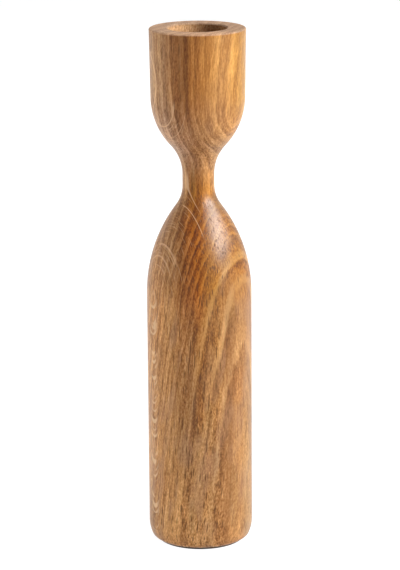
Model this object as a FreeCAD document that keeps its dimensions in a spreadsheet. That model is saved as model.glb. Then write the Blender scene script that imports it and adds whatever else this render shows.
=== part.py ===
import FreeCAD, Part
import Sketcher
import math
import os

# Candle stand, turned from one oak blank: a straight body, a thin neck and a cup with a
# bored candle socket. A felt pad is stuck under its foot. Millimetres, +Z up. The origin
# is the centre of the pad's underside, where the stand meets the table.

# Each row of the sheet: the size's name, the size, what it measures.
DRIVING_SIZES = [
    ("overall_height", 200.0, "from the table to the rim"),
    ("body_diameter", 40.0, "the straight body"),
    ("foot_height", 6.6, "from the wood's underside up to the straight body"),
    ("foot_sweep_radius", 14.0, "the slow curve that draws the foot in"),
    ("foot_edge_radius", 2.0, "the sanded edge between that curve and the underside"),
    ("shoulder_radius", 57.0, "the dome that closes the body"),
    ("lower_neck_radius", 13.0, "the hollow between the shoulder and the neck"),
    ("neck_diameter", 12.1, "the neck, at its thinnest"),
    ("neck_length", 4.2, "the stretch of the neck that is evenly thin"),
    ("upper_neck_radius", 16.4, "the hollow between the neck and the bowl"),
    ("bowl_radius", 27.5, "the round underside of the cup"),
    ("cup_wall_height", 26.0, "from the top of the bowl to the rim"),
    ("cup_flare", 0.35, "how far the cup's wall leans out on its way up"),
    ("rim_diameter", 36.4, "the cup at its top face"),
    ("rim_edge_radius", 0.6, "the eased outer edge of the top face"),
    ("candle_diameter", 22.0, "the household candle that the socket takes"),
    ("candle_clearance", 0.25, "the gap all round the candle"),
    ("socket_depth", 25.0, "from the top face to the socket's floor"),
    ("socket_lead", 0.4, "the chamfer at the socket's mouth"),
    ("drill_point_diameter", 3.0, "the print of the drill's point in that floor"),
    ("drill_point_depth", 1.5, "how deep that print goes"),
    ("centre_mark_diameter", 5.0, "the lathe centre's cone in the wood's underside"),
    ("centre_mark_depth", 2.5, "how deep that cone goes"),
    ("pad_inset", 0.5, "from the edge of the flat underside in to the pad"),
    ("pad_thickness", 0.85, "the felt"),
    ("pad_edge_radius", 0.25, "the felt's lower edge, which wears round"),
    ("film_thickness", 0.15, "the adhesive film on the felt's back"),
    ("cut_overrun", 1.0, "how far a cut starts outside the wood"),
]

FULL_TURN_DEG = 360.0
SAME_SIZE = 1e-6  # two lengths that differ by less are one
SAME_SHARE = 1e-4  # two volumes that differ by a smaller share are one

# The radius of the flat underside that the foot's two curves leave.
FLAT_RADIUS = (
    "(Sizes.body_diameter / 2 - Sizes.foot_sweep_radius"
    " + sqrt((Sizes.foot_sweep_radius - Sizes.foot_edge_radius) ^ 2"
    " - (Sizes.foot_height - Sizes.foot_edge_radius) ^ 2))"
)
PAD_STACK = "(Sizes.pad_thickness + Sizes.film_thickness)"
WOOD_HEIGHT = f"(Sizes.overall_height - {PAD_STACK})"
PAD_RADIUS = f"({FLAT_RADIUS} - Sizes.pad_inset)"
SOCKET_RADIUS = "(Sizes.candle_diameter / 2 + Sizes.candle_clearance)"

doc = FreeCAD.newDocument("CandleStand")
sheet = doc.addObject("Spreadsheet::Sheet", "Sizes")
for row, (alias, value, meaning) in enumerate(DRIVING_SIZES, 1):
    sheet.set(f"A{row}", alias)
    sheet.set(f"B{row}", str(value))
    sheet.set(f"C{row}", meaning)
    sheet.setAlias(f"B{row}", alias)
doc.recompute()


def size(formula):
    """What a size, or a sum of sizes, comes to."""
    return float(sheet.evalExpression(formula))


def point(across, up=0.0):
    """A point in a sketch: its distance from the turning axis, and its height."""
    return FreeCAD.Vector(across, up, 0)


def new_body(label, lift=None):
    """An empty body, raised by a sum of sizes."""
    body = doc.addObject("PartDesign::Body", label.title().replace("_", ""))
    body.Label = label
    if lift:
        body.setExpression(".Placement.Base.z", lift)
    return body


def new_sketch(body, name, role):
    """An empty sketch on one of the body's own origin planes."""
    plane = next(feature for feature in body.Origin.OriginFeatures if feature.Role == role)
    sketch = body.newObject("Sketcher::SketchObject", name)
    sketch.AttachmentSupport = [(plane, "")]
    sketch.MapMode = "FlatFace"
    return sketch


def dimension(sketch, name, formula, kind, *places):
    """A dimension that follows the sheet."""
    index = sketch.addConstraint(Sketcher.Constraint(kind, *places, size(formula)))
    sketch.renameConstraint(index, name)
    sketch.setExpression(f"Constraints.{name}", formula)


def rule(sketch, kind, *places):
    """A rule between lines and points, such as Tangent or Vertical."""
    sketch.addConstraint(Sketcher.Constraint(kind, *places))


# How a sketch numbers things: geometry -1 is its level axis, whose point 1 is the origin,
# and geometry -2 its upright axis. Point 1 of a line or arc is its start, 2 its end and,
# in a circle, 3 the centre.
ORIGIN = (-1, 1)
UPRIGHT_AXIS_INDEX = -2
CENTRE_POINT_INDEX = 3


def line(sketch, begin, end):
    """Adds a line. Returns its first and last point, each as geometry and point number."""
    index = sketch.addGeometry(Part.LineSegment(begin, end), False)
    return (index, 1), (index, 2)


def arc(sketch, centre, begin, end, bulges_out):
    """Adds an arc. One that bulges out runs left round its centre, as sketch arcs do."""
    circle = Part.Circle(centre, FreeCAD.Vector(0, 0, 1), (begin - centre).Length)
    first, last = (begin, end) if bulges_out else (end, begin)
    curve = Part.ArcOfCircle(circle, circle.parameter(first), circle.parameter(last))
    index = sketch.addGeometry(curve, False)
    return ((index, 1), (index, 2)) if bulges_out else ((index, 2), (index, 1))


def toward(begin, end, distance):
    """The point that far from one point on the way to another."""
    return begin + (end - begin).normalize() * distance


def leg(long_side, side):
    """The third side of a right-angled triangle."""
    return math.sqrt(long_side**2 - side**2)


def draw_turned_outline(sketch):
    """Half of the wood's outline: out along the underside, up the wood, in to the axis."""
    body, neck = size("Sizes.body_diameter / 2"), size("Sizes.neck_diameter / 2")
    rim, flare = size("Sizes.rim_diameter / 2"), size("Sizes.cup_flare")
    top, wall = size(WOOD_HEIGHT), size("Sizes.cup_wall_height")
    sweep, edge = size("Sizes.foot_sweep_radius"), size("Sizes.foot_edge_radius")
    shoulder, bowl = size("Sizes.shoulder_radius"), size("Sizes.bowl_radius")
    lower, upper = size("Sizes.lower_neck_radius"), size("Sizes.upper_neck_radius")

    # The arcs' centres. Where two arcs meet, their centres and the joint are in one line.
    sweep_centre = point(body - sweep, size("Sizes.foot_height"))
    edge_centre = point(size(FLAT_RADIUS), edge)
    wall_foot, wall_top = point(rim - flare, top - wall), point(rim, top)
    square_to_wall = point(wall, -flare).normalize()
    bowl_centre = wall_foot - square_to_wall * bowl
    upper_across = neck + upper
    upper_drop = leg(bowl + upper, upper_across - bowl_centre.x)
    upper_centre = point(upper_across, bowl_centre.y - upper_drop)
    lower_centre = point(neck + lower, upper_centre.y - size("Sizes.neck_length"))
    shoulder_across = body - shoulder
    shoulder_drop = leg(shoulder + lower, lower_centre.x - shoulder_across)
    shoulder_centre = point(shoulder_across, lower_centre.y - shoulder_drop)

    # The points where one stretch ends and the next starts.
    under_middle, under_edge = point(0), point(edge_centre.x)
    sweep_start = toward(sweep_centre, edge_centre, sweep)
    body_foot, body_top = point(body, sweep_centre.y), point(body, shoulder_centre.y)
    shoulder_end = toward(shoulder_centre, lower_centre, shoulder)
    neck_foot, neck_top = point(neck, lower_centre.y), point(neck, upper_centre.y)
    bowl_start = toward(bowl_centre, upper_centre, bowl)
    top_middle = point(0, top)

    underside = line(sketch, under_middle, under_edge)
    foot_edge = arc(sketch, edge_centre, under_edge, sweep_start, True)
    foot_sweep = arc(sketch, sweep_centre, sweep_start, body_foot, True)
    straight_body = line(sketch, body_foot, body_top)
    dome = arc(sketch, shoulder_centre, body_top, shoulder_end, True)
    lower_hollow = arc(sketch, lower_centre, shoulder_end, neck_foot, False)
    thin_neck = line(sketch, neck_foot, neck_top)
    upper_hollow = arc(sketch, upper_centre, neck_top, bowl_start, False)
    round_bowl = arc(sketch, bowl_centre, bowl_start, wall_foot, True)
    cup_wall = line(sketch, wall_foot, wall_top)
    top_face = line(sketch, wall_top, top_middle)
    axis_line = line(sketch, top_middle, under_middle)

    smooth = [
        underside, foot_edge, foot_sweep, straight_body, dome,
        lower_hollow, thin_neck, upper_hollow, round_bowl, cup_wall,
    ]
    for below, above in zip(smooth, smooth[1:]):
        rule(sketch, "Tangent", *below[1], *above[0])
    for before, after in ((cup_wall, top_face), (top_face, axis_line), (axis_line, underside)):
        rule(sketch, "Coincident", *before[1], *after[0])
    for flat in (underside, top_face):
        rule(sketch, "Horizontal", flat[0][0])
    for upright in (straight_body, thin_neck):
        rule(sketch, "Vertical", upright[0][0])
    rule(sketch, "Coincident", *underside[0], *ORIGIN)
    rule(sketch, "PointOnObject", *axis_line[0], UPRIGHT_AXIS_INDEX)

    for name, curve in (
        ("foot_edge_radius", foot_edge),
        ("foot_sweep_radius", foot_sweep),
        ("shoulder_radius", dome),
        ("lower_neck_radius", lower_hollow),
        ("upper_neck_radius", upper_hollow),
        ("bowl_radius", round_bowl),
    ):
        dimension(sketch, name, f"Sizes.{name}", "Radius", curve[0][0])
    for name, formula, place in (
        ("body_reach", "Sizes.body_diameter / 2", straight_body[0]),
        ("neck_reach", "Sizes.neck_diameter / 2", thin_neck[0]),
        ("rim_reach", "Sizes.rim_diameter / 2", cup_wall[1]),
    ):
        dimension(sketch, name, formula, "DistanceX", *ORIGIN, *place)
    dimension(sketch, "cup_flare", "Sizes.cup_flare", "DistanceX", *cup_wall[0], *cup_wall[1])
    for name, formula, low, high in (
        ("foot_height", "Sizes.foot_height", ORIGIN, straight_body[0]),
        ("neck_length", "Sizes.neck_length", thin_neck[0], thin_neck[1]),
        ("cup_wall_height", "Sizes.cup_wall_height", cup_wall[0], cup_wall[1]),
        ("wood_height", WOOD_HEIGHT, ORIGIN, cup_wall[1]),
    ):
        dimension(sketch, name, formula, "DistanceY", *low, *high)


def draw_socket_outline(sketch):
    """Half of the bored socket: its wall, its floor and the print of the drill's point."""
    reach, print_reach = size(SOCKET_RADIUS), size("Sizes.drill_point_diameter / 2")
    mouth = size(f"{WOOD_HEIGHT} + Sizes.cut_overrun")
    floor = size(f"{WOOD_HEIGHT} - Sizes.socket_depth")
    corners = [
        point(0, floor - size("Sizes.drill_point_depth")),
        point(print_reach, floor),
        point(reach, floor),
        point(reach, mouth),
        point(0, mouth),
    ]
    sides = [line(sketch, corners[i - 1], corners[i]) for i in range(len(corners))]
    axis_line, slope, floor_line, wall, lid = sides
    for before, after in zip(sides, sides[1:] + sides[:1]):
        rule(sketch, "Coincident", *before[1], *after[0])
    for flat in (floor_line, lid):
        rule(sketch, "Horizontal", flat[0][0])
    rule(sketch, "Vertical", wall[0][0])
    for end in axis_line:
        rule(sketch, "PointOnObject", *end, UPRIGHT_AXIS_INDEX)
    for name, formula, place in (
        ("socket_reach", SOCKET_RADIUS, wall[0]),
        ("print_reach", "Sizes.drill_point_diameter / 2", slope[1]),
    ):
        dimension(sketch, name, formula, "DistanceX", *ORIGIN, *place)
    for name, formula, low, high in (
        ("mouth_height", f"{WOOD_HEIGHT} + Sizes.cut_overrun", ORIGIN, lid[0]),
        ("floor_height", f"{WOOD_HEIGHT} - Sizes.socket_depth", ORIGIN, floor_line[0]),
        ("print_depth", "Sizes.drill_point_depth", slope[0], slope[1]),
    ):
        dimension(sketch, name, formula, "DistanceY", *low, *high)


def draw_centre_mark_outline(sketch):
    """Half of the cone that the lathe's centre left in the underside."""
    middle, edge = point(0), point(size("Sizes.centre_mark_diameter / 2"))
    tip = point(0, size("Sizes.centre_mark_depth"))
    sides = [line(sketch, middle, edge), line(sketch, edge, tip), line(sketch, tip, middle)]
    for before, after in zip(sides, sides[1:] + sides[:1]):
        rule(sketch, "Coincident", *before[1], *after[0])
    base, _, axis_line = sides
    rule(sketch, "Horizontal", base[0][0])
    rule(sketch, "Coincident", *base[0], *ORIGIN)
    rule(sketch, "PointOnObject", *axis_line[0], UPRIGHT_AXIS_INDEX)
    dimension(sketch, "mark_reach", "Sizes.centre_mark_diameter / 2", "DistanceX", *base[0], *base[1])
    dimension(sketch, "mark_depth", "Sizes.centre_mark_depth", "DistanceY", *base[0], *axis_line[0])


def turn(body, kind, name, sketch):
    """A full turn of a sketch about the upright axis: a Revolution adds, a Groove cuts."""
    feature = body.newObject(f"PartDesign::{kind}", name)
    feature.Profile = sketch
    feature.ReferenceAxis = (sketch, ["V_Axis"])
    feature.Angle = FULL_TURN_DEG
    sketch.Visibility = False
    doc.recompute()
    return feature


def round_edge(shape, radius, height):
    """The name of the circular edge of that radius, at that height in its body."""
    for index, edge in enumerate(shape.Edges, 1):
        curve = edge.Curve
        if isinstance(curve, Part.Circle):
            if abs(curve.Radius - radius) < SAME_SIZE and abs(curve.Center.z - height) < SAME_SIZE:
                return f"Edge{index}"
    raise RuntimeError(f"no round edge of radius {radius} at height {height}")


def dress_edge(body, kind, name, base, formula, radius, height):
    """A fillet or chamfer on one round edge of the feature before it."""
    feature = body.newObject(f"PartDesign::{kind}", name)
    feature.Base = (base, [round_edge(base.Shape, radius, height)])
    feature.setExpression("Radius" if kind == "Fillet" else "Size", formula)
    doc.recompute()
    return feature


def make_oak_body():
    """The turned blank, with its socket, the lathe's mark and its eased edges."""
    oak = new_body("oak_body", PAD_STACK)
    outline = new_sketch(oak, "TurnedOutline", "XZ_Plane")
    draw_turned_outline(outline)
    turned = turn(oak, "Revolution", "TurnedBlank", outline)

    socket_outline = new_sketch(oak, "SocketOutline", "XZ_Plane")
    draw_socket_outline(socket_outline)
    socket = turn(oak, "Groove", "CandleSocket", socket_outline)

    mark_outline = new_sketch(oak, "CentreMarkOutline", "XZ_Plane")
    draw_centre_mark_outline(mark_outline)
    mark = turn(oak, "Groove", "CentreMark", mark_outline)

    rim = dress_edge(
        oak, "Fillet", "RimEdge", mark, "Sizes.rim_edge_radius",
        size("Sizes.rim_diameter / 2"), size(WOOD_HEIGHT),
    )
    dress_edge(
        oak, "Chamfer", "SocketLead", rim, "Sizes.socket_lead",
        size(SOCKET_RADIUS), size(WOOD_HEIGHT),
    )

    bore = math.pi * size(SOCKET_RADIUS) ** 2 * size("Sizes.socket_depth")
    print_cone = size("pi * (Sizes.drill_point_diameter / 2) ^ 2 * Sizes.drill_point_depth / 3")
    mark_cone = size("pi * (Sizes.centre_mark_diameter / 2) ^ 2 * Sizes.centre_mark_depth / 3")
    check_cut("socket", turned, socket, bore + print_cone)
    check_cut("centre mark", socket, mark, mark_cone)
    return oak


def check_cut(name, before, after, expected):
    """Stops if a cut took another volume than its shape holds."""
    taken = before.Shape.Volume - after.Shape.Volume
    if not math.isclose(taken, expected, rel_tol=SAME_SHARE):
        raise RuntimeError(f"the {name} took {taken:.3f} cubic mm, not {expected:.3f}")


def make_disc(label, lift, thickness):
    """A die-cut disc as wide as the pad."""
    disc = new_body(label, lift)
    outline = new_sketch(disc, "CutOutline", "XY_Plane")
    circle = Part.Circle(point(0), FreeCAD.Vector(0, 0, 1), size(PAD_RADIUS))
    index = outline.addGeometry(circle, False)
    rule(outline, "Coincident", index, CENTRE_POINT_INDEX, *ORIGIN)
    dimension(outline, "cut_radius", PAD_RADIUS, "Radius", index)
    blank = disc.newObject("PartDesign::Pad", "Blank")
    blank.Profile = outline
    blank.setExpression("Length", thickness)
    outline.Visibility = False
    doc.recompute()
    return disc, blank


def make_felt_pad():
    """The felt that the stand rests on, with its lower edge worn round."""
    felt, blank = make_disc("felt_pad", None, "Sizes.pad_thickness")
    dress_edge(felt, "Fillet", "WornEdge", blank, "Sizes.pad_edge_radius", size(PAD_RADIUS), 0)
    return felt


def make_adhesive_film():
    """The double-sided film that holds the felt to the wood."""
    film, _ = make_disc("adhesive_film", "Sizes.pad_thickness", "Sizes.film_thickness")
    return film


pieces = [make_oak_body(), make_felt_pad(), make_adhesive_film()]
doc.recompute()

for thing in doc.Objects:
    if "Invalid" in thing.State or "Error" in thing.State:
        raise RuntimeError(f"{thing.Label} did not build: {thing.State}")
    if thing.TypeId == "Sketcher::SketchObject" and not thing.FullyConstrained:
        raise RuntimeError(f"{thing.Label} is not fully constrained")
for piece in pieces:
    if piece.Shape.isNull() or not piece.Shape.isValid() or len(piece.Shape.Solids) != 1:
        raise RuntimeError(f"{piece.Label} is not one sound solid")

os.makedirs("parts", exist_ok=True)
for piece in pieces:
    piece.Shape.exportStep(f"parts/{piece.Label}.step")
    box = piece.Shape.optimalBoundingBox(False)
    print(
        f"{piece.Label}: {piece.Shape.Volume:.1f} cubic mm, "
        f"{box.XLength:.2f} x {box.YLength:.2f} x {box.ZLength:.2f} from z {box.ZMin:.2f}"
    )
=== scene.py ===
import math

import bpy
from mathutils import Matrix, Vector


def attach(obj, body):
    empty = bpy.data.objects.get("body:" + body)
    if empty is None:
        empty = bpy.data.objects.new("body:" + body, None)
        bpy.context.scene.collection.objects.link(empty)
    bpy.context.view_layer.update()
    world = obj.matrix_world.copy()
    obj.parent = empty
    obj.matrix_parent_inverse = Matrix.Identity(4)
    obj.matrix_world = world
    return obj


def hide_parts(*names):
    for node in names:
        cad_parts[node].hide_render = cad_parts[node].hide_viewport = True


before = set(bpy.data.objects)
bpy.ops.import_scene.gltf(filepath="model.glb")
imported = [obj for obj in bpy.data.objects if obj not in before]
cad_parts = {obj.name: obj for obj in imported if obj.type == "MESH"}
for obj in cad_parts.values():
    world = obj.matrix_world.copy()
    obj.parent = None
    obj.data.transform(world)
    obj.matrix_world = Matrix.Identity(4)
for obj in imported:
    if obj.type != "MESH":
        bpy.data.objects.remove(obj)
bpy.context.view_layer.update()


# Oak body: body, neck and cup turned as one piece between lathe centres, from a fast-grown oak
# blank that is sawn beside the tree's heart. Rings, rays and pores run through the whole blank.
# The candle's socket is drilled from the top. It is sanded, oiled and buffed; the bore stays raw.

MM = 0.001
SPIN_STEPS = 240
SHORTEST_STEP = 0.02
WELD_GAP = 0.002
OAK_CREASE = 30.0

FOOT_Z = 1.0
FLAT_RADIUS = 17.083
FOOT_EDGE_RADIUS = 2.0
FOOT_SWEEP_RADIUS = 14.0
BODY_RADIUS = 20.0
FOOT_TOP_Z = 7.6
SHOULDER_Z = 98.28
SHOULDER_RADIUS = 57.0
LOWER_HOLLOW_RADIUS = 13.0
NECK_RADIUS = 6.05
NECK_LOW_Z = 140.21
NECK_HIGH_Z = 144.41
UPPER_HOLLOW_RADIUS = 16.4
BOWL_RADIUS = 27.5
CUP_WALL_FOOT = (17.85, 174.0)
RIM_RADIUS = 18.2
TOP_Z = 200.0
RIM_EDGE_RADIUS = 0.6
SOCKET_RADIUS = 11.25
SOCKET_LEAD = 0.4
SOCKET_FLOOR_Z = 175.0
DRILL_POINT_RADIUS = 1.5
DRILL_POINT_DEPTH = 1.5
CENTRE_MARK_RADIUS = 2.5
CENTRE_MARK_DEPTH = 2.5


def walk_arc(centre, radius, start, end, steps):
    """Points on an arc in the (radius, height) plane, angles in radians from the outward direction."""
    angles = [start + (end - start) * step / steps for step in range(steps + 1)]
    return [(centre[0] + radius * math.cos(a), centre[1] + radius * math.sin(a)) for a in angles]


def walk_line(start, end, steps):
    """Points on a straight run, both ends included."""
    return [(start[0] + (end[0] - start[0]) * step / steps,
             start[1] + (end[1] - start[1]) * step / steps) for step in range(steps + 1)]


def heading(start, end):
    """The angle of the way from start to end in the (radius, height) plane."""
    return math.atan2(end[1] - start[1], end[0] - start[0])


flare = math.atan2(RIM_RADIUS - CUP_WALL_FOOT[0], TOP_Z - CUP_WALL_FOOT[1])
rim_centre_z = TOP_Z - RIM_EDGE_RADIUS
wall_at_rim = CUP_WALL_FOOT[0] + (rim_centre_z - CUP_WALL_FOOT[1]) * math.tan(flare)
rim_centre = (wall_at_rim - RIM_EDGE_RADIUS / math.cos(flare), rim_centre_z)
bowl_centre = (CUP_WALL_FOOT[0] - BOWL_RADIUS * math.cos(flare),
               CUP_WALL_FOOT[1] + BOWL_RADIUS * math.sin(flare))
upper_centre = (NECK_RADIUS + UPPER_HOLLOW_RADIUS, NECK_HIGH_Z)
lower_centre = (NECK_RADIUS + LOWER_HOLLOW_RADIUS, NECK_LOW_Z)
shoulder_centre = (BODY_RADIUS - SHOULDER_RADIUS, SHOULDER_Z)
sweep_centre = (BODY_RADIUS - FOOT_SWEEP_RADIUS, FOOT_TOP_Z)
foot_edge_centre = (FLAT_RADIUS, FOOT_Z + FOOT_EDGE_RADIUS)
bowl_end = heading(bowl_centre, upper_centre)
shoulder_end = heading(shoulder_centre, lower_centre)
sweep_end = heading(sweep_centre, foot_edge_centre)

# The outline from the middle of the socket's floor, over the rim and down to the middle of the
# foot's underside. The last number of each run is its count of steps.
runs = [
    walk_line((0.0, SOCKET_FLOOR_Z - DRILL_POINT_DEPTH), (DRILL_POINT_RADIUS, SOCKET_FLOOR_Z), 2),
    walk_line((DRILL_POINT_RADIUS, SOCKET_FLOOR_Z), (SOCKET_RADIUS, SOCKET_FLOOR_Z), 8),
    walk_line((SOCKET_RADIUS, SOCKET_FLOOR_Z), (SOCKET_RADIUS, TOP_Z - SOCKET_LEAD), 24),
    walk_line((SOCKET_RADIUS, TOP_Z - SOCKET_LEAD), (SOCKET_RADIUS + SOCKET_LEAD, TOP_Z), 2),
    walk_line((SOCKET_RADIUS + SOCKET_LEAD, TOP_Z), (rim_centre[0], TOP_Z), 12),
    walk_arc(rim_centre, RIM_EDGE_RADIUS, math.pi / 2, -flare, 8),
    walk_line((wall_at_rim, rim_centre_z), CUP_WALL_FOOT, 26),
    walk_arc(bowl_centre, BOWL_RADIUS, -flare, bowl_end, 36),
    walk_arc(upper_centre, UPPER_HOLLOW_RADIUS, bowl_end + math.pi, math.pi, 24),
    walk_line((NECK_RADIUS, NECK_HIGH_Z), (NECK_RADIUS, NECK_LOW_Z), 4),
    walk_arc(lower_centre, LOWER_HOLLOW_RADIUS, math.pi, shoulder_end + math.pi, 24),
    walk_arc(shoulder_centre, SHOULDER_RADIUS, shoulder_end, 0.0, 48),
    walk_line((BODY_RADIUS, SHOULDER_Z), (BODY_RADIUS, FOOT_TOP_Z), 46),
    walk_arc(sweep_centre, FOOT_SWEEP_RADIUS, 0.0, sweep_end, 14),
    walk_arc(foot_edge_centre, FOOT_EDGE_RADIUS, sweep_end, -math.pi / 2, 10),
    walk_line((FLAT_RADIUS, FOOT_Z), (CENTRE_MARK_RADIUS, FOOT_Z), 8),
    walk_line((CENTRE_MARK_RADIUS, FOOT_Z), (0.0, FOOT_Z + CENTRE_MARK_DEPTH), 2),
]
outline = [runs[0][0]]
for run in runs:
    for place in run:
        if math.dist(place, outline[-1]) > SHORTEST_STEP:
            outline.append(place)

bpy.ops.object.select_all(action="DESELECT")
bpy.ops.mesh.primitive_plane_add(size=MM, location=(0.0, 0.0, outline[0][1] * MM))
oak = bpy.context.active_object
oak.name = "turned_oak"
oak.data.name = "turned_oak"
bpy.ops.object.mode_set(mode="EDIT")
bpy.ops.mesh.merge(type="CENTER")
for here, there in zip(outline, outline[1:]):
    step = ((there[0] - here[0]) * MM, 0.0, (there[1] - here[1]) * MM)
    bpy.ops.mesh.extrude_region_move(TRANSFORM_OT_translate={"value": step})
bpy.ops.mesh.select_all(action="SELECT")
bpy.ops.mesh.spin(steps=SPIN_STEPS, angle=2 * math.pi, center=(0, 0, 0), axis=(0, 0, 1))
bpy.ops.mesh.select_all(action="SELECT")
bpy.ops.mesh.remove_doubles(threshold=WELD_GAP * MM)
bpy.ops.mesh.normals_make_consistent(inside=False)
bpy.ops.object.mode_set(mode="OBJECT")
bpy.ops.object.transform_apply(location=True, rotation=True, scale=True)
bpy.ops.object.shade_smooth_by_angle(angle=math.radians(OAK_CREASE))


def lay_node(tree, kind, **settings):
    """Adds a node; in_0 or in_Name fills that input, and any other setting is an attribute."""
    node = tree.nodes.new(kind)
    for name, value in settings.items():
        if not name.startswith("in_"):
            setattr(node, name, value)
    for name, value in settings.items():
        if name.startswith("in_"):
            key = name[3:]
            socket = node.inputs[int(key)] if key.isdigit() else node.inputs[key.replace("_", " ")]
            if isinstance(value, bpy.types.NodeSocket):
                tree.links.new(value, socket)
            else:
                socket.default_value = value
    return node


def calc(tree, operation, first, second=0.0, third=0.0):
    """A Math node's result; each term is a number or a socket."""
    node = lay_node(tree, "ShaderNodeMath", operation=operation, in_0=first, in_1=second, in_2=third)
    return node.outputs[0]


def times(tree, *factors):
    """The product of two or more numbers or sockets."""
    product = factors[0]
    for factor in factors[1:]:
        product = calc(tree, "MULTIPLY", product, factor)
    return product


def plus(tree, *terms):
    """The sum of two or more numbers or sockets."""
    total = terms[0]
    for term in terms[1:]:
        total = calc(tree, "ADD", total, term)
    return total


def slope(tree, value, rate, start):
    """start plus rate times value."""
    return calc(tree, "MULTIPLY_ADD", value, rate, start)


def swing(tree, value, reach):
    """Spreads a value of 0 to 1 over reach, half of it to each side of zero."""
    return times(tree, calc(tree, "SUBTRACT", value, 0.5), reach)


def away(tree, value, middle):
    """How far value is from middle, to either side."""
    return calc(tree, "ABSOLUTE", calc(tree, "SUBTRACT", value, middle))


def turn_about(tree, right, back):
    """The angle round an upright line, 0 towards the front and growing to the right."""
    return calc(tree, "ARCTAN2", right, times(tree, back, -1.0))


def fade(tree, value, low, high, to_low=0.0, to_high=1.0):
    """A smooth change from to_low to to_high while value goes from low to high."""
    node = lay_node(tree, "ShaderNodeMapRange", interpolation_type="SMOOTHSTEP", in_0=value,
                    in_1=low, in_2=high, in_3=to_low, in_4=to_high)
    return node.outputs[0]


def ramp(tree, value, stops):
    """A Color Ramp with stops of (position, colour or grey)."""
    node = lay_node(tree, "ShaderNodeValToRGB", in_0=value)
    elements = node.color_ramp.elements
    while len(elements) < len(stops):
        elements.new(1.0)
    for element, (position, colour) in zip(elements, stops):
        element.position = position
        element.color = (*colour, 1.0) if isinstance(colour, tuple) else (colour, colour, colour, 1.0)
    return node.outputs[0]


def bend(tree, value, points, handle="AUTO"):
    """A Float Curve through the points; VECTOR handles keep it straight between them."""
    node = lay_node(tree, "ShaderNodeFloatCurve", in_1=value)
    curve = node.mapping.curves[0]
    while len(curve.points) < len(points):
        curve.points.new(0.5, 0.5)
    for point, place in zip(curve.points, points):
        point.location = place
        point.handle_type = handle
    node.mapping.update()
    return node.outputs[0]


def blend_colours(tree, how, factor, base, top):
    """A Mix node on colours, each one a colour or a socket."""
    node = lay_node(tree, "ShaderNodeMix", data_type="RGBA", blend_type=how, in_0=factor)
    for socket, value in ((node.inputs[6], base), (node.inputs[7], top)):
        if isinstance(value, bpy.types.NodeSocket):
            tree.links.new(value, socket)
        else:
            socket.default_value = (*value, 1.0)
    return node.outputs[2]


def scale_colour(tree, colour, gain):
    """A colour made lighter or darker by a gain."""
    return lay_node(tree, "ShaderNodeVectorMath", operation="SCALE", in_0=colour,
                    in_Scale=gain).outputs[0]


def cloud(tree, place, scale, detail, roughness=0.5):
    """Soft noise of 0 to 1."""
    node = lay_node(tree, "ShaderNodeTexNoise", in_Vector=place, in_Scale=scale, in_Detail=detail,
                    in_Roughness=roughness)
    return node.outputs["Fac"]


def cells(tree, places, sizes):
    """A place counted in cells of the given sizes in millimetres, for a stretched texture."""
    shares = [calc(tree, "DIVIDE", place, size) for place, size in zip(places, sizes)]
    return lay_node(tree, "ShaderNodeCombineXYZ", in_0=shares[0], in_1=shares[1],
                    in_2=shares[2]).outputs[0]


def new_material(name):
    """An empty material and its node tree."""
    material = bpy.data.materials.new(name)
    material.use_nodes = True
    material.node_tree.nodes.clear()
    return material, material.node_tree


# Places in the blank, in millimetres. Height runs from -1 at the table to 1 at the rim, and along
# from 0 to 1.
MID_Z = 100.0

oiled_oak, wood = new_material("oiled_oak")
object_place = lay_node(wood, "ShaderNodeTexCoord").outputs["Object"]
in_mm = lay_node(wood, "ShaderNodeVectorMath", operation="SCALE", in_0=object_place, in_Scale=1.0 / MM)
x, y, z = lay_node(wood, "ShaderNodeSeparateXYZ", in_0=in_mm.outputs[0]).outputs
height = calc(wood, "DIVIDE", calc(wood, "SUBTRACT", z, MID_Z), MID_Z)
height_2 = times(wood, height, height)
height_3 = times(wood, height_2, height)
along = calc(wood, "DIVIDE", z, TOP_Z)
axis_distance = calc(wood, "SQRT", plus(wood, times(wood, x, x), times(wood, y, y)))
side_turn = turn_about(wood, x, y)

# Rings: the distance from the tree's heart, which stands 62 mm from the axis, behind the blank on
# its left, and leans. Packing is how close the rings lie, counted from the pivot, and drift shifts
# them all; both are curves over the height. Then they wander a little, slowly and quickly.
HEART_X = -52.8
HEART_Y = 32.4
HEART_LEAN_X = -2.0
HEART_LEAN_Y = -7.1
RING_PIVOT = 85.0
RING_PACKING = [(0.0, 0.38), (0.2, 0.482), (0.4, 0.601), (0.5, 0.646), (0.6, 0.6), (0.8, 0.477),
                (1.0, 0.39)]
RING_DRIFT = [(0.0, 0.60), (0.3, 0.653), (0.4, 0.608), (0.5, 0.5), (0.6, 0.339), (0.7, 0.262),
              (0.8, 0.18), (1.0, 0.08)]
DRIFT_REACH = 10.0
WANDERS = (((7.0, 7.0, 26.0), 2.0, 0.9), ((1.6, 1.6, 7.0), 1.0, 0.3))
OUTER_RING_SHIFT = -0.6
RING_ENDS = (50.0, 52.3, 54.2, 56.5, 58.4, 60.8, 62.9, 65.1, 67.2, 69.2, 71.2, 73.2, 74.55, 75.8,
             77.05, 78.2, 80.65, 82.5, 84.0, 85.35, 88.0, 90.0)
RING_COUNT = len(RING_ENDS) - 1
RING_SPAN = RING_ENDS[-1] - RING_ENDS[0]

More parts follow.
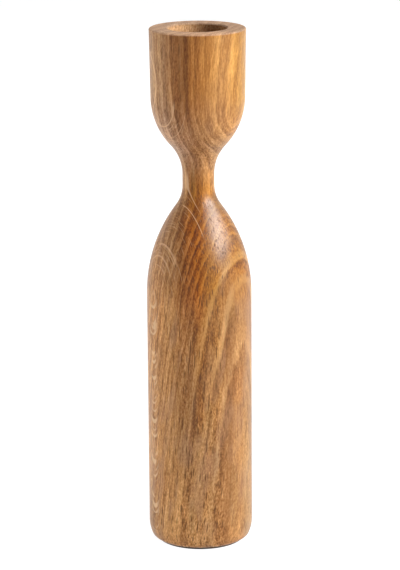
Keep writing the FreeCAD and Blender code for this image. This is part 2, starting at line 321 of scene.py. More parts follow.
from_heart_x = calc(wood, "SUBTRACT", x, slope(wood, height, HEART_LEAN_X, HEART_X))
from_heart_y = calc(wood, "SUBTRACT", y, slope(wood, height, HEART_LEAN_Y, HEART_Y))
from_heart = calc(wood, "SQRT", plus(wood, times(wood, from_heart_x, from_heart_x),
                                     times(wood, from_heart_y, from_heart_y)))
packed = slope(wood, calc(wood, "SUBTRACT", from_heart, RING_PIVOT),
               bend(wood, along, RING_PACKING), RING_PIVOT)
ring_place = plus(wood, packed, swing(wood, bend(wood, along, RING_DRIFT), DRIFT_REACH))
for cell, detail, reach in WANDERS:
    wander = cloud(wood, cells(wood, (x, y, z), cell), 1.0, detail)
    ring_place = plus(wood, ring_place, swing(wood, wander, reach))
outer_low = times(wood, fade(wood, z, 108.0, 82.0), fade(wood, ring_place, 80.6, 81.8))
ring_place = slope(wood, outer_low, OUTER_RING_SHIFT, ring_place)
ring_share = calc(wood, "DIVIDE", calc(wood, "SUBTRACT", ring_place, RING_ENDS[0]), RING_SPAN)
ring_count = bend(wood, ring_share, [((end - RING_ENDS[0]) / RING_SPAN, number / RING_COUNT)
                                     for number, end in enumerate(RING_ENDS)], handle="VECTOR")
ring_count = times(wood, ring_count, RING_COUNT)
ring_age = calc(wood, "FRACT", ring_count)
ring_luck = lay_node(wood, "ShaderNodeTexWhiteNoise", noise_dimensions="1D",
                     in_W=calc(wood, "FLOOR", ring_count)).outputs["Value"]

# Long rays: thin sheets on edge that spread from a curved line behind the heart. Each row is a
# ray's place round that line, half its thickness, its lowest and highest point, the ring where it
# begins and its strength.
RAY_HEART_X = (-56.57, 11.75, -13.12, -11.46)
RAY_HEART_Y = (57.85, -19.88, 12.68, 24.23)
RAY_ARM = 60.0
RAYS = ((41.38, 0.14, 121.5, 136.0, 68.0, 0.85), (43.1, 0.12, 130.0, 143.0, 68.0, 0.7),
        (36.2, 0.13, 123.5, 132.0, 65.0, 0.8), (34.72, 0.14, 111.0, 126.0, 64.0, 0.7),
        (33.45, 0.13, 107.0, 119.0, 62.0, 0.55), (35.6, 0.10, 158.0, 172.0, 62.0, 0.7),
        (37.3, 0.09, 157.0, 168.0, 63.0, 0.5))
RAY_CORE = 0.25
RAY_TAPER = 4.0


def cubic(terms):
    """A cubic in the height."""
    total = slope(wood, height, terms[1], terms[0])
    total = slope(wood, height_2, terms[2], total)
    return slope(wood, height_3, terms[3], total)


ray_place = times(wood, turn_about(wood, calc(wood, "SUBTRACT", x, cubic(RAY_HEART_X)),
                                   calc(wood, "SUBTRACT", y, cubic(RAY_HEART_Y))), RAY_ARM)
rays = 0.0
for place, half, low, high, inner, strength in RAYS:
    ray = times(wood, fade(wood, away(wood, ray_place, place), half, half * RAY_CORE, 0.0, strength),
                fade(wood, z, low, low + RAY_TAPER), fade(wood, z, high + RAY_TAPER, high),
                fade(wood, ring_place, inner, inner + 1.0))
    rays = calc(wood, "MAXIMUM", rays, ray)

# Fine rays: they show where the turned face runs along them, by an amount that the curve gives
# for each height.
FINE_RAY_CELL = (0.22, 9.0, 7.0)
FINE_RAY_SHOW = [(0.0, 0.0), (0.44, 0.0), (0.52, 0.5), (0.67, 0.5), (0.70, 0.08), (0.77, 0.08),
                 (0.80, 0.5), (0.83, 0.4), (0.86, 0.0), (1.0, 0.0)]

spoke_x = calc(wood, "DIVIDE", from_heart_x, from_heart)
spoke_y = calc(wood, "DIVIDE", from_heart_y, from_heart)
across = calc(wood, "SUBTRACT", times(wood, x, spoke_y), times(wood, y, spoke_x))
quartered = calc(wood, "DIVIDE", calc(wood, "ABSOLUTE", across), axis_distance)
quartered = fade(wood, quartered, 0.72, 0.97)
fine_rays = cloud(wood, cells(wood, (ray_place, from_heart, z), FINE_RAY_CELL), 1.0, 1.0)
fine_rays = times(wood, quartered, bend(wood, along, FINE_RAY_SHOW, handle="VECTOR"),
                  fade(wood, fine_rays, 0.60, 0.72))
rays = calc(wood, "MAXIMUM", rays, fine_rays)

# Ray on the cup: the bowl's curve cuts one ray as a tall narrow loop on the left.
LOOP_TURN = -1.04
LOOP_MIDDLE_Z = 180.0
LOOP_CURVE = 0.0023

loop_height = calc(wood, "SUBTRACT", z, LOOP_MIDDLE_Z)
loop_bow = times(wood, loop_height, loop_height, LOOP_CURVE)
loop_line = calc(wood, "ABSOLUTE", plus(wood, calc(wood, "SUBTRACT", side_turn, LOOP_TURN), loop_bow))
loop = times(wood, fade(wood, loop_line, 0.035, 0.008, 0.0, 0.8), fade(wood, z, 168.0, 171.0))
rays = calc(wood, "MAXIMUM", rays, loop)

# Flecks: below the shoulder the grain leans, and short rays come out on the left as pale cups.
FLECK_X = -0.882
FLECK_Y = -0.471
FLECK_LEAN = 0.07
FLECK_CELL = (0.15, 9.0, 6.0)

fleck_place = slope(wood, z, FLECK_LEAN, slope(wood, x, FLECK_X, times(wood, y, FLECK_Y)))
fleck_depth = slope(wood, x, -FLECK_Y, times(wood, y, FLECK_X))
flecks = cloud(wood, cells(wood, (fleck_place, fleck_depth, z), FLECK_CELL), 1.0, 0.0)
flecks = times(wood, fade(wood, flecks, 0.54, 0.68),
               fade(wood, calc(wood, "ABSOLUTE", fleck_depth), 3.6, 1.2),
               fade(wood, z, 103.0, 92.0, 0.45, 1.0), fade(wood, z, 103.0, 97.0))

# Pores: vessels cut open as short dark dashes, crowded where each ring begins, and a few long ones.
PORE_CELL = (0.60, 0.52, 5.5)
LONG_PORE_CELL = (1.0, 0.85, 13.0)
PORE_CROWD = [(0.0, 0.85), (0.22, 0.7), (0.45, 0.34), (0.8, 0.18), (1.0, 0.3)]

in_rings = (from_heart, ray_place, z)


def lay_pores(cell):
    """One pore to a cell: the distance from it, and the cell's chance numbers."""
    node = lay_node(wood, "ShaderNodeTexVoronoi", feature="F1", in_Vector=cells(wood, in_rings, cell),
                    in_Scale=1.0)
    chances = lay_node(wood, "ShaderNodeSeparateColor", in_0=node.outputs["Color"]).outputs
    return node.outputs["Distance"], chances


from_pore, chances = lay_pores(PORE_CELL)
pore_open = calc(wood, "SUBTRACT", ramp(wood, ring_age, PORE_CROWD), chances[0])
pores = times(wood, fade(wood, from_pore, 0.44, 0.2), fade(wood, pore_open, -0.08, 0.12))
from_pore, chances = lay_pores(LONG_PORE_CELL)
long_pores = times(wood, fade(wood, from_pore, 0.30, 0.14), fade(wood, chances[1], 0.52, 0.42))
pores = calc(wood, "MAXIMUM", pores, long_pores)

# Grain: noise stretched along the blank, from sanded fibre ends to broad streaks.
grain = cloud(wood, cells(wood, in_rings, (0.36, 0.36, 1.1)), 1.0, 1.0)
hair = cloud(wood, cells(wood, in_rings, (0.26, 0.26, 5.5)), 1.0, 1.0)
fibre = cloud(wood, cells(wood, in_rings, (0.5, 0.45, 3.6)), 1.0, 2.0)
streak = cloud(wood, cells(wood, in_rings, (1.3, 1.2, 18.0)), 1.0, 2.0)
ring_lines = cloud(wood, cells(wood, (ring_place, ray_place, z), (0.32, 2.6, 30.0)), 1.0, 1.0)
mauve_bands = cloud(wood, cells(wood, (ring_place, ray_place, z), (2.2, 7.0, 24.0)), 1.0, 2.0)
patches = cloud(wood, cells(wood, (x, y, z), (12.0, 12.0, 22.0)), 1.0, 2.0)

# Parts of the blank that differ: shoulder and all above it, the dark core that runs up the middle,
# the close-grained right of the cup, the coarse middle and calm right of the body, and the right of
# the shoulder under its highlight, which gets painted shade and flattened grain there.
CORE_SIDE_X = 0.966
CORE_SIDE_Y = -0.259
CORE_SHOW = [(0.0, 0.0), (0.22, 0.0), (0.38, 0.35), (0.5, 0.95), (0.63, 1.0), (0.70, 0.35),
             (0.82, 0.35), (0.88, 0.95), (1.0, 1.0)]

upper = fade(wood, z, 90.0, 112.0)
core_middle = plus(wood, fade(wood, z, 110.0, 138.0, 2.0, -1.4), fade(wood, z, 160.0, 173.0, 0.0, -2.0))
from_core = away(wood, slope(wood, x, CORE_SIDE_X, times(wood, y, CORE_SIDE_Y)), core_middle)
from_core = slope(wood, streak, -3.0, plus(wood, from_core, 1.5))
core = times(wood, fade(wood, from_core, 7.5, 2.0), bend(wood, along, CORE_SHOW, handle="VECTOR"))
cup_right = times(wood, fade(wood, z, 146.0, 168.0), fade(wood, x, -9.0, 5.0))
body_middle = times(wood, fade(wood, x, -9.0, -5.0), fade(wood, x, 11.0, 7.0),
                    fade(wood, z, 130.0, 118.0))
body_right = times(wood, fade(wood, x, 6.0, 11.0), fade(wood, z, 112.0, 98.0))
# The shoulder's right under its highlight: painted shade darkens and cools the colour here.
shoulder_highlight_shade = times(wood, fade(wood, x, 2.0, 5.0), fade(wood, z, 108.0, 116.0),
                       fade(wood, z, 140.0, 134.0))

# Tone: dark open early wood and paler dense late wood, five fine rings to every two broad ones,
# then the grain.
RING_SHADE = [(0.0, 0.42), (0.10, 0.33), (0.35, 0.46), (0.58, 0.53), (0.74, 0.78), (0.90, 0.82),
              (1.0, 0.46)]
FINE_RINGS = 2.5
FINE_SHADE = [(0.0, 0.40), (0.5, 0.44), (0.72, 0.70), (0.88, 0.70), (1.0, 0.42)]
OAK_TONES = [(0.0, (0.16, 0.055, 0.013)), (0.25, (0.30, 0.120, 0.032)), (0.5, (0.47, 0.215, 0.066)),
             (0.75, (0.65, 0.335, 0.115)), (1.0, (0.80, 0.46, 0.19))]

ring_shade = ramp(wood, ring_age, RING_SHADE)
fine_shade = ramp(wood, calc(wood, "FRACT", times(wood, ring_count, FINE_RINGS)), FINE_SHADE)
body_force = times(wood, fade(wood, ring_place, 72.0, 83.0, 0.4, 0.95), fade(wood, z, 20.0, 75.0, 0.4, 1.0))
ring_force = lay_node(wood, "ShaderNodeMix", data_type="FLOAT", in_0=upper, in_2=body_force,
                      in_3=slope(wood, core, 0.95, 0.7)).outputs[0]
ring_force = times(wood, ring_force, fade(wood, patches, 0.3, 0.6, 0.6, 1.1))
fine_force = times(wood, fade(wood, z, 146.0, 158.0, 0.15, 0.65), fade(wood, z, 165.0, 178.0, 1.0, 0.5))
tone = swing(wood, ring_shade, ring_force)
for layer, force in ((ring_luck, 0.12), (fibre, 0.65), (ring_lines, 0.55), (streak, 0.6),
                     (fine_shade, fine_force)):
    tone = plus(wood, tone, swing(wood, layer, force))
calm = calc(wood, "MAXIMUM", fade(wood, z, 118.0, 132.0, 0.0, 0.28), times(wood, body_right, 0.35))
# Under the shoulder's highlight the grain is flattened too, a painted wash of highlight.
calm = calc(wood, "MAXIMUM", calm, times(wood, shoulder_highlight_shade, fade(wood, x, 13.0, 9.0, 0.0, 0.55)))
tone = times(wood, tone, calc(wood, "SUBTRACT", 1.0, calm))
grain_force = slope(wood, cup_right, -0.45, slope(wood, body_middle, 0.35, 0.85))
grain_force = slope(wood, body_right, -0.20, grain_force)
tone = plus(wood, tone, swing(wood, grain, grain_force),
            swing(wood, hair, fade(wood, z, 138.0, 156.0, 0.0, 0.5)), 0.5)
colour = ramp(wood, tone, OAK_TONES)

# Tint: it changes from ring to ring, above the shoulder in another way than below, with two thin
# pale rings on the right and mauve bands between the rings. Towards the foot it gives way to a paler
# tint, painted light thrown up from the floor.
RING_TINT_START = 60.0
RING_TINT_SPAN = 30.0
BODY_TINT = [(0.0, (0.92, 0.92, 0.92)), (0.55, (1.0, 1.0, 1.0)), (0.66, (0.86, 0.85, 0.83)),
             (0.80, (0.90, 0.89, 0.87)), (0.86, (1.06, 1.04, 0.99))]
FOOT_FLOOR_LIGHT = (1.10, 1.09, 1.07)
CROWN_TINT = [(0.0, (0.90, 0.90, 0.94)), (0.28, (0.78, 0.74, 0.70)), (0.38, (0.80, 0.73, 0.64)),
              (0.46, (1.0, 0.88, 0.68)), (0.59, (1.18, 1.04, 0.74)), (0.70, (1.05, 0.95, 0.72))]
PALE_RINGS = (80.3, 82.15)
PALE_WOOD = (0.80, 0.46, 0.19)
MAUVE_WOOD = (0.36, 0.195, 0.105)

ring_tint = calc(wood, "DIVIDE", calc(wood, "SUBTRACT", ring_place, RING_TINT_START), RING_TINT_SPAN)
# Paler near the foot: painted light from the floor.
body_tint_and_floor_light = blend_colours(wood, "MIX", fade(wood, z, 48.0, 18.0), ramp(wood, ring_tint, BODY_TINT),
                          FOOT_FLOOR_LIGHT)
tint = blend_colours(wood, "MIX", upper, body_tint_and_floor_light, ramp(wood, ring_tint, CROWN_TINT))
colour = blend_colours(wood, "MULTIPLY", 1.0, colour, tint)
pale = calc(wood, "MAXIMUM", *[fade(wood, away(wood, ring_place, ring), 0.4, 0.12) for ring in PALE_RINGS])
pale = times(wood, pale, fade(wood, z, 62.0, 84.0, 0.0, 0.35))
colour = blend_colours(wood, "MIX", pale, colour, PALE_WOOD)
mauve = times(wood, fade(wood, mauve_bands, 0.46, 0.62), calc(wood, "SUBTRACT", 1.0, core),
              fade(wood, z, 90.0, 165.0, 0.38, 0.12))
colour = blend_colours(wood, "MIX", mauve, colour, MAUVE_WOOD)

# Level and tint up the blank, then tint across its upper half and across the cup, from left to
# right. The levels are half of the gain, because a Float Curve ends at 1. Besides the wood's tone
# these carry painted light and shade: the level dips over the shoulder, partly as painted shade
# under its highlight, and drops at the foot's left as painted shade; the tints are bluer on the
# bowl's underside and towards the sides as a painted sheen, and warmer at the right of the upper
# half as painted light from the key lamp.
LEVELS_WITH_SHOULDER_SHADE = [(0.0, 0.5), (0.48, 0.5), (0.52, 0.41), (0.66, 0.40), (0.70, 0.54), (0.75, 0.53),
          (0.80, 0.46), (0.84, 0.45), (0.90, 0.5), (1.0, 0.46)]
UP_TINT_AND_SHEEN = [(0.03, (1.0, 1.03, 1.1)), (0.1, (0.9, 0.93, 1.0)), (0.3, (0.87, 0.88, 0.95)),
           (0.45, (0.93, 0.93, 0.96)), (0.52, (1.04, 1.03, 1.02)), (0.68, (1.0, 1.0, 1.0)),
           (0.73, (1.0, 1.08, 1.3)), (0.79, (1.0, 1.13, 1.65)), (0.84, (1.0, 1.10, 1.45)),
           (0.89, (0.97, 1.07, 1.2)), (1.0, (0.96, 1.05, 1.2))]
SIDE_TINT_AND_PAINTED_LIGHT = [(0.0, (1.0, 1.04, 1.2)), (0.27, (1.04, 1.07, 1.22)), (0.40, (1.0, 1.02, 1.12)),
             (0.5, (0.95, 0.95, 1.0)), (0.6, (0.97, 0.98, 1.0)), (0.72, (0.93, 0.95, 1.0)),
             (0.85, (0.98, 0.94, 0.80)), (1.0, (1.0, 1.02, 1.02))]
CUP_TINT_AND_SHEEN = [(0.05, (0.92, 0.93, 0.93)), (0.13, (1.06, 1.06, 1.04)), (0.21, (1.08, 1.17, 1.30)),
            (0.27, (1.09, 1.26, 1.48)), (0.345, (0.96, 0.95, 0.96)), (0.42, (0.87, 0.77, 0.66)),
            (0.50, (0.88, 0.78, 0.70)), (0.58, (1.00, 0.95, 0.88)), (0.73, (1.05, 1.04, 1.00)),
            (0.79, (0.93, 0.91, 0.88)), (0.89, (0.96, 1.02, 1.00)), (0.93, (1.04, 1.20, 1.35)),
            (1.00, (0.92, 1.00, 1.10))]

# Painted shade on the foot's left.
foot_left_shade = times(wood, fade(wood, z, 28.0, 8.0), fade(wood, x, -8.0, -18.0))
level_and_painted_shade = times(wood, bend(wood, along, LEVELS_WITH_SHOULDER_SHADE), slope(wood, foot_left_shade, -0.5, 2.0))
colour = scale_colour(wood, colour, level_and_painted_shade)
from_left = slope(wood, x, 0.5 / BODY_RADIUS, 0.5)
# These tints are partly the wood's and partly painted sheen and painted light.
for mask, place, stops in ((1.0, along, UP_TINT_AND_SHEEN), (upper, from_left, SIDE_TINT_AND_PAINTED_LIGHT),
                           (fade(wood, z, 162.0, 174.0), from_left, CUP_TINT_AND_SHEEN)):
    colour = blend_colours(wood, "MULTIPLY", mask, colour, ramp(wood, place, stops))

# Streaks and zones, each with the tint that the colour is multiplied by there. Among them the right
# of the shoulder is painted shade under its highlight, the neck's sides and the body's right edge a
# painted sheen, and the foot's left edge painted shade.
WARM_SHOW = [(0.0, 0.0), (0.22, 0.0), (0.32, 0.5), (0.46, 0.6), (0.52, 1.0), (0.70, 1.0),
             (0.74, 0.0), (0.86, 0.0), (0.9, 0.3), (1.0, 0.3)]


def from_oval(middle_x, half_x, middle_z, half_z, ragged):
    """The square of the distance from a spot's middle, 1 at its edge, made ragged by the streaks."""
    off_x = calc(wood, "DIVIDE", calc(wood, "SUBTRACT", x, middle_x), half_x)
    off_z = calc(wood, "DIVIDE", calc(wood, "SUBTRACT", z, middle_z), half_z)
    return slope(wood, streak, ragged, plus(wood, times(wood, off_x, off_x), times(wood, off_z, off_z)))


cup_streak = away(wood, x, slope(wood, streak, -2.0, -4.2))
cup_streak = times(wood, fade(wood, cup_streak, 3.2, 0.8), fade(wood, z, 166.0, 180.0))
warm = away(wood, x, fade(wood, z, 108.0, 125.0, 3.2, 0.6))
warm = times(wood, fade(wood, warm, 6.5, 3.0), bend(wood, along, WARM_SHOW, handle="VECTOR"))
golden = times(wood, fade(wood, side_turn, 0.6, 0.8), fade(wood, side_turn, 1.3, 1.12),
               fade(wood, z, 93.0, 101.0), fade(wood, z, 143.0, 137.0))
foot_streak = slope(wood, streak, 1.6, away(wood, x, slope(wood, z, 0.07, 3.2)))
foot_streak = times(wood, fade(wood, foot_streak, 3.2, 1.5), fade(wood, z, 56.0, 42.0))
neck_out = calc(wood, "ABSOLUTE", x)
# The neck's sides: a painted sheen, bluer towards the outline.
neck_sides_sheen = times(wood, fade(wood, neck_out, 3.0, 5.2), fade(wood, z, 128.0, 134.0),
                   fade(wood, z, 163.0, 152.0))
neck_front = times(wood, fade(wood, neck_out, 3.4, 1.6), fade(wood, z, 118.0, 127.0),
                   fade(wood, z, 148.0, 140.0))
# The body's right edge: a painted sheen, bluer towards the outline.
body_edge_sheen = times(wood, fade(wood, x, 15.5, 18.0), fade(wood, z, 82.0, 66.0))
# The foot's left edge: painted shade.
foot_edge_shade = times(wood, fade(wood, x, -16.5, -19.0), fade(wood, z, 36.0, 22.0))
# A darker patch a little left of the middle, low on the body.
darker_front_patch = fade(wood, from_oval(-4.5, 6.5, 60.0, 18.0, 1.2), 2.0, 0.9)
side_streak = slope(wood, streak, 2.0, away(wood, x, slope(wood, z, 0.03, 9.0)))
side_streak = times(wood, fade(wood, side_streak, 4.2, 1.8), fade(wood, z, 100.0, 84.0))
for mask, tint in ((core, (0.68, 0.50, 0.36)), (cup_streak, (0.76, 0.80, 0.86)),
                   (shoulder_highlight_shade, (0.79, 0.83, 0.95)), (warm, (0.92, 0.81, 0.47)),
                   (golden, (1.05, 0.98, 0.76)), (foot_streak, (0.77, 0.75, 0.75)),
                   (neck_sides_sheen, (0.98, 1.09, 1.22)), (neck_front, (1.0, 0.96, 0.84)),
                   (body_edge_sheen, (0.99, 1.07, 1.09)), (foot_edge_shade, (0.86, 0.87, 0.86)),
                   (darker_front_patch, (0.82, 0.78, 0.74)), (side_streak, (0.80, 0.76, 0.75))):
    colour = blend_colours(wood, "MULTIPLY", mask, colour, tint)

# Light and dark spots, partly in the figure and partly painted light and shade, among them lighter
# spots round the shoulder's highlight: middle and half width, middle and half height, and gain.
SPOTS_OF_FIGURE_AND_SHADE = ((12.9, 1.9, 20.0, 13.0, -0.22), (15.5, 3.5, 65.0, 7.0, 0.17), (11.6, 2.4, 94.0, 7.0, -0.19),
         (0.0, 1.6, 57.0, 8.0, 0.25), (3.4, 1.5, 66.0, 6.0, 0.18), (3.4, 1.4, 54.5, 5.0, -0.16),
         (-3.5, 1.4, 45.0, 6.0, 0.18), (3.4, 1.5, 35.0, 6.0, 0.18), (6.8, 1.5, 50.0, 10.0, 0.12),
         (-3.3, 1.4, 14.0, 7.0, -0.20), (-6.8, 1.4, 14.0, 7.0, 0.15), (-15.5, 2.6, 102.0, 18.0, 0.18),
         (-6.6, 1.7, 107.0, 11.0, -0.15), (0.0, 1.7, 98.0, 8.0, 0.18), (-3.4, 1.5, 88.0, 9.0, -0.13),
         (-3.6, 1.6, 126.0, 7.0, 0.26), (0.0, 1.5, 122.0, 5.0, 0.24), (-2.0, 0.8, 142.0, 7.0, -0.30),
         (4.7, 1.3, 141.0, 7.0, 0.22), (-11.5, 2.0, 158.0, 5.0, 0.18), (-4.2, 1.7, 129.5, 5.0, 0.22),
         (9.5, 2.2, 126.0, 9.0, 0.13), (-5.8, 2.4, 158.5, 4.5, 0.16), (17.5, 2.5, 12.0, 9.0, -0.13),
         (-8.8, 1.6, 178.0, 10.0, 0.12), (5.6, 2.4, 116.5, 4.5, 0.17), (1.7, 1.3, 124.0, 5.0, 0.15))
SPOT_RAGGED = 0.8

# The spots' gain, painted light and shade among it.
gain = 1.0
for middle_x, half_x, middle_z, half_z, lift in SPOTS_OF_FIGURE_AND_SHADE:
    spot = from_oval(middle_x, half_x, middle_z, half_z, SPOT_RAGGED)
    gain = plus(wood, fade(wood, spot, 2.0, 0.8, 0.0, lift), gain)
colour = scale_colour(wood, colour, gain)

# Pores, rays and flecks lie over the figure.
PORE_BROWN = (0.11, 0.042, 0.014)
RAY_BUFF = (0.74, 0.46, 0.25)
FLECK_CREAM = (0.72, 0.50, 0.29)

pore_force = slope(wood, cup_right, -0.5, slope(wood, body_middle, 0.16, 0.70))
pore_force = slope(wood, body_right, -0.32, pore_force)
colour = blend_colours(wood, "MIX", times(wood, pores, pore_force), colour, PORE_BROWN)
colour = blend_colours(wood, "MIX", times(wood, rays, 0.75), colour, RAY_BUFF)
colour = blend_colours(wood, "MIX", times(wood, flecks, 0.6), colour, FLECK_CREAM)

# Bore: raw, pale on its left and darker round to the right, where shade is painted on. Rim: end
# grain, paler at the front, where a highlight is painted on.
RAW_WOOD = [(0.25, (0.40, 0.19, 0.075)), (0.5, (0.66, 0.36, 0.155)), (0.75, (0.88, 0.56, 0.28))]
BORE_RIGHT_SHADE = (0.36, 0.33, 0.32)
END_GRAIN = [(0.2, (0.32, 0.18, 0.11)), (0.5, (0.46, 0.285, 0.18)), (0.8, (0.61, 0.40, 0.26))]
END_GRAIN_FRONT_HIGHLIGHT = (1.27, 1.22, 1.15)
END_GRAIN_RIGHT = (0.88, 0.89, 0.90)

in_bore = times(wood, fade(wood, axis_distance, 11.75, 11.6), fade(wood, z, 170.0, 172.0))
raw_wood = ramp(wood, plus(wood, grain, swing(wood, fibre, 0.6)), RAW_WOOD)
# Painted shade on the bore's right.
raw_wood = blend_colours(wood, "MULTIPLY", fade(wood, x, -9.0, 5.0), raw_wood, BORE_RIGHT_SHADE)
colour = blend_colours(wood, "MIX", in_bore, colour, raw_wood)
end_grain = ramp(wood, slope(wood, ring_shade, 0.45, slope(wood, grain, 1.1, -0.27)), END_GRAIN)
# Painted highlight on the rim's front.
end_grain = blend_colours(wood, "MULTIPLY", fade(wood, y, -9.0, -14.0), end_grain, END_GRAIN_FRONT_HIGHLIGHT)
end_grain = blend_colours(wood, "MULTIPLY", fade(wood, x, 4.0, 13.0), end_grain, END_GRAIN_RIGHT)
on_rim = fade(wood, z, 199.3, 199.7)
colour = blend_colours(wood, "MIX", times(wood, on_rim, 0.85), colour, end_grain)

# Surface: buffed oil with the pores a little open; the bore and the end grain are duller.
bump = lay_node(wood, "ShaderNodeBump", in_Strength=0.35, in_Distance=0.1 * MM,
                in_Height=slope(wood, fibre, 0.25, times(wood, pores, -1.0)))
roughness = plus(wood, fade(wood, fibre, 0.2, 0.8, 0.28, 0.39), times(wood, pores, 0.2))
roughness = slope(wood, in_bore, 0.4, roughness)
roughness = slope(wood, on_rim, 0.55, roughness)
surface = lay_node(wood, "ShaderNodeBsdfPrincipled", in_Base_Color=colour, in_Roughness=roughness,
                   in_Normal=bump.outputs[0])
surface.inputs["Specular IOR Level"].default_value = 0.22
surface.inputs["IOR"].default_value = 1.48
lay_node(wood, "ShaderNodeOutputMaterial", in_Surface=surface.outputs[0])
oak.data.materials.append(oiled_oak)
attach(oak, "root")
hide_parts("oak_body")


# Adhesive film: double-sided film, cut with the felt and pressed on the wood's underside.
# Only its edge shows, as a thin buff line between felt and wood.

FILM_DARK = (0.50, 0.43, 0.31)
FILM_LIGHT = (0.64, 0.57, 0.44)

film_material, film = new_material("adhesive_film")
film_place = lay_node(film, "ShaderNodeTexCoord").outputs["Object"]
film_cloud = cloud(film, film_place, 900.0, 3.0)
film_colour = blend_colours(film, "MIX", film_cloud, FILM_DARK, FILM_LIGHT)
film_surface = lay_node(film, "ShaderNodeBsdfPrincipled", in_Base_Color=film_colour,
                        in_Roughness=fade(film, film_cloud, 0.3, 0.7, 0.3, 0.5))
lay_node(film, "ShaderNodeOutputMaterial", in_Surface=film_surface.outputs[0])
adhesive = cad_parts["adhesive_film"]
adhesive.data.materials.clear()
adhesive.data.materials.append(film_material)


# Felt pad: a disc punched from dark brown pressed wool felt, stuck under the stand.
# Its lower edge is worn soft and its face is fibrous.

PAD_RADIUS = 16.583
PAD_THICKNESS = 0.85
PAD_SIDES = 160
PAD_EDGE_RADIUS = 0.25
PAD_EDGE_STEPS = 4
PAD_FACE_RINGS = 2
PAD_RING_WIDTH = 5.0
PAD_CREASE = 35.0
FELT_DARK = (0.055, 0.038, 0.027)
FELT_LIGHT = (0.13, 0.098, 0.074)

bpy.ops.object.select_all(action="DESELECT")
bpy.ops.mesh.primitive_cylinder_add(vertices=PAD_SIDES, radius=PAD_RADIUS * MM,
                                    depth=PAD_THICKNESS * MM,
                                    location=(0.0, 0.0, PAD_THICKNESS / 2 * MM), end_fill_type="NGON")
felt = bpy.context.active_object
felt.name = "felt_disc"
felt.data.name = "felt_disc"
bpy.ops.object.mode_set(mode="EDIT")
bpy.ops.mesh.select_mode(type="EDGE")
bpy.ops.mesh.select_all(action="DESELECT")
bpy.ops.object.mode_set(mode="OBJECT")
for edge in felt.data.edges:
    start, end = (felt.data.vertices[corner].co for corner in edge.vertices)
    edge.select = max(start.z, end.z) < 0.0
bpy.ops.object.mode_set(mode="EDIT")
bpy.ops.mesh.bevel(offset=PAD_EDGE_RADIUS * MM, segments=PAD_EDGE_STEPS, profile=0.5, affect="EDGES",
                   clamp_overlap=True)
bpy.ops.mesh.select_mode(type="FACE")
bpy.ops.mesh.select_all(action="DESELECT")
bpy.ops.object.mode_set(mode="OBJECT")
for face in felt.data.polygons:
    face.select = abs(face.normal.z) > 0.99
bpy.ops.object.mode_set(mode="EDIT")
for ring in range(PAD_FACE_RINGS):
    bpy.ops.mesh.inset(thickness=PAD_RING_WIDTH * MM, depth=0.0)
bpy.ops.mesh.select_all(action="SELECT")
bpy.ops.mesh.normals_make_consistent(inside=False)
bpy.ops.object.mode_set(mode="OBJECT")
bpy.ops.object.shade_smooth_by_angle(angle=math.radians(PAD_CREASE))
bpy.ops.object.transform_apply(location=True, rotation=True, scale=True)
felt_material, nap = new_material("felt")
felt_place = lay_node(nap, "ShaderNodeTexCoord").outputs["Object"]
felt_cloud = cloud(nap, felt_place, 2500.0, 6.0, 0.7)
felt_colour = blend_colours(nap, "MIX", fade(nap, felt_cloud, 0.3, 0.7), FELT_DARK, FELT_LIGHT)
felt_bump = lay_node(nap, "ShaderNodeBump", in_Strength=0.8, in_Distance=0.2 * MM, in_Height=felt_cloud)
felt_surface = lay_node(nap, "ShaderNodeBsdfPrincipled", in_Base_Color=felt_colour, in_Roughness=0.95,
                        in_Normal=felt_bump.outputs[0])
felt_surface.inputs["Sheen Weight"].default_value = 0.4
lay_node(nap, "ShaderNodeOutputMaterial", in_Surface=felt_surface.outputs[0])
felt.data.materials.append(felt_material)
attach(felt, "root")
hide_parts("felt_pad")


# Floor: a plain white table, wide enough for every view. It looks white, keeps the stand's shadow,
# and throws light up on the stand as matt white does.

TABLE_SIZE = 12.0
TABLE_WHITE = (0.85, 0.85, 0.85, 1.0)
TABLE_GLOW = 1.22
TABLE_GLOW_SHARE = 0.8
PURE_WHITE = (1.0, 1.0, 1.0, 1.0)


def seen_directly(tree):
    """1 for what the camera, gloss and glass see, and 0 for the light that falls on the stand."""
    path = lay_node(tree, "ShaderNodeLightPath").outputs
    seen = calc(tree, "MAXIMUM", path["Is Camera Ray"], path["Is Glossy Ray"])
    return calc(tree, "MAXIMUM", seen, path["Is Transmission Ray"])


bpy.ops.object.select_all(action="DESELECT")
bpy.ops.mesh.primitive_plane_add(size=TABLE_SIZE, location=(0.0, 0.0, 0.0))
floor = bpy.context.active_object
floor.name = "white_table"
floor_material, table = new_material("white_table")
matt_white = lay_node(table, "ShaderNodeBsdfDiffuse", in_Color=TABLE_WHITE)
bright = lay_node(table, "ShaderNodeEmission", in_Color=PURE_WHITE, in_Strength=TABLE_GLOW)
floor_mix = lay_node(table, "ShaderNodeMixShader", in_0=times(table, seen_directly(table), TABLE_GLOW_SHARE),
                     in_1=matt_white.outputs[0], in_2=bright.outputs[0])
lay_node(table, "ShaderNodeOutputMaterial", in_Surface=floor_mix.outputs[0])
floor.data.materials.append(floor_material)


# Light: a soft key lamp at the right, with a window beside it that only the gloss shows, two weak
# fills at the left and one behind, none of which the gloss shows. The white room round them is
# darker on the camera's side.

# Each row is a lamp's name, turn, rise, distance, width, height and power, and whether matt and
# glossy light come from it.
STAND_MIDDLE = 0.1
ROOM_FRONT = 0.03
ROOM_BACK = 0.15
LAMPS = (("key_right", 62.0, 33.0, 1.2, 0.85, 0.55, 18.0, True, True),
         ("window_right", 77.0, 40.0, 1.2, 1.10, 0.80, 49.0, False, True),
         ("fill_left", -95.0, 6.0, 0.9, 0.5, 0.55, 5.6, True, False),
         ("fill_front_left", -70.0, 5.0, 0.9, 0.5, 0.55, 1.5, True, False),
         ("fill_back", 180.0, 25.0, 1.2, 0.5, 0.55, 9.0, True, False))


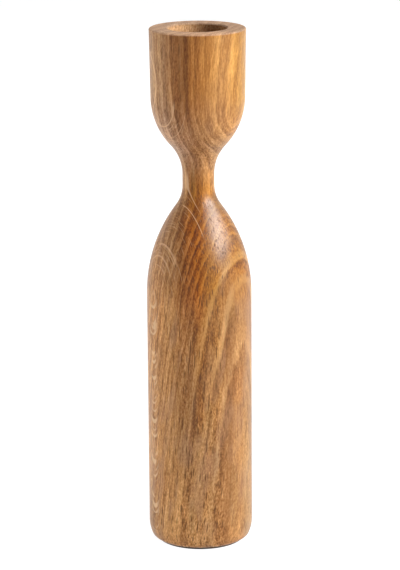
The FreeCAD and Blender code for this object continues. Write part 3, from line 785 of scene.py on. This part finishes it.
def soft_lamp(name, turn, rise, distance, width, tall, power):
    """An area lamp aimed at the stand; turn is degrees from the camera's side towards the right."""
    data = bpy.data.lights.new(name, "AREA")
    data.shape = "RECTANGLE"
    data.size = width
    data.size_y = tall
    data.energy = power
    lamp = bpy.data.objects.new(name, data)
    bpy.context.scene.collection.objects.link(lamp)
    turn, rise = math.radians(turn), math.radians(rise)
    outward = Vector((math.sin(turn) * math.cos(rise), -math.cos(turn) * math.cos(rise), math.sin(rise)))
    lamp.location = Vector((0.0, 0.0, STAND_MIDDLE)) + outward * distance
    lamp.rotation_euler = outward.to_track_quat("Z", "Y").to_euler()
    return lamp


for name, turn, rise, distance, width, tall, power, matt, glossy in LAMPS:
    lamp = soft_lamp(name, turn, rise, distance, width, tall, power)
    lamp.visible_diffuse = matt
    lamp.visible_glossy = glossy

world = bpy.data.worlds.new("white_room")
bpy.context.scene.world = world
world.use_nodes = True
room = world.node_tree
room.nodes.clear()
directions = lay_node(room, "ShaderNodeSeparateXYZ",
                      in_0=lay_node(room, "ShaderNodeTexCoord").outputs["Generated"]).outputs
room_light = fade(room, directions[1], -0.2, 0.6, ROOM_FRONT, ROOM_BACK)
room_strength = lay_node(room, "ShaderNodeMix", data_type="FLOAT", in_0=seen_directly(room),
                         in_2=room_light, in_3=1.0)
backdrop = lay_node(room, "ShaderNodeBackground", in_0=PURE_WHITE, in_1=room_strength.outputs[0])
lay_node(room, "ShaderNodeOutputWorld", in_0=backdrop.outputs[0])


# Camera: 1 m from the stand's middle, looking down on it by 14 degrees and turned a little, so
# that the stand leans as in the photograph.

CAMERA_DISTANCE = 1.0
CAMERA_RISE = math.radians(14.222)
CAMERA_ROLL = math.radians(-0.416)

camera_data = bpy.data.cameras.new("camera")
camera_data.sensor_fit = "AUTO"
camera_data.sensor_width = 36.0
camera_data.lens = 165.19
camera_data.shift_x = 0.001485
camera_data.shift_y = 0.004155
camera = bpy.data.objects.new("camera", camera_data)
bpy.context.scene.collection.objects.link(camera)
camera.location = (0.0, -CAMERA_DISTANCE * math.cos(CAMERA_RISE),
                   STAND_MIDDLE + CAMERA_DISTANCE * math.sin(CAMERA_RISE))
camera.rotation_euler = (math.pi / 2 - CAMERA_RISE, 0.0, 0.0)
camera.rotation_euler.rotate_axis("Z", CAMERA_ROLL)
bpy.context.scene.camera = camera
bpy.context.scene.view_settings.view_transform = "Standard"
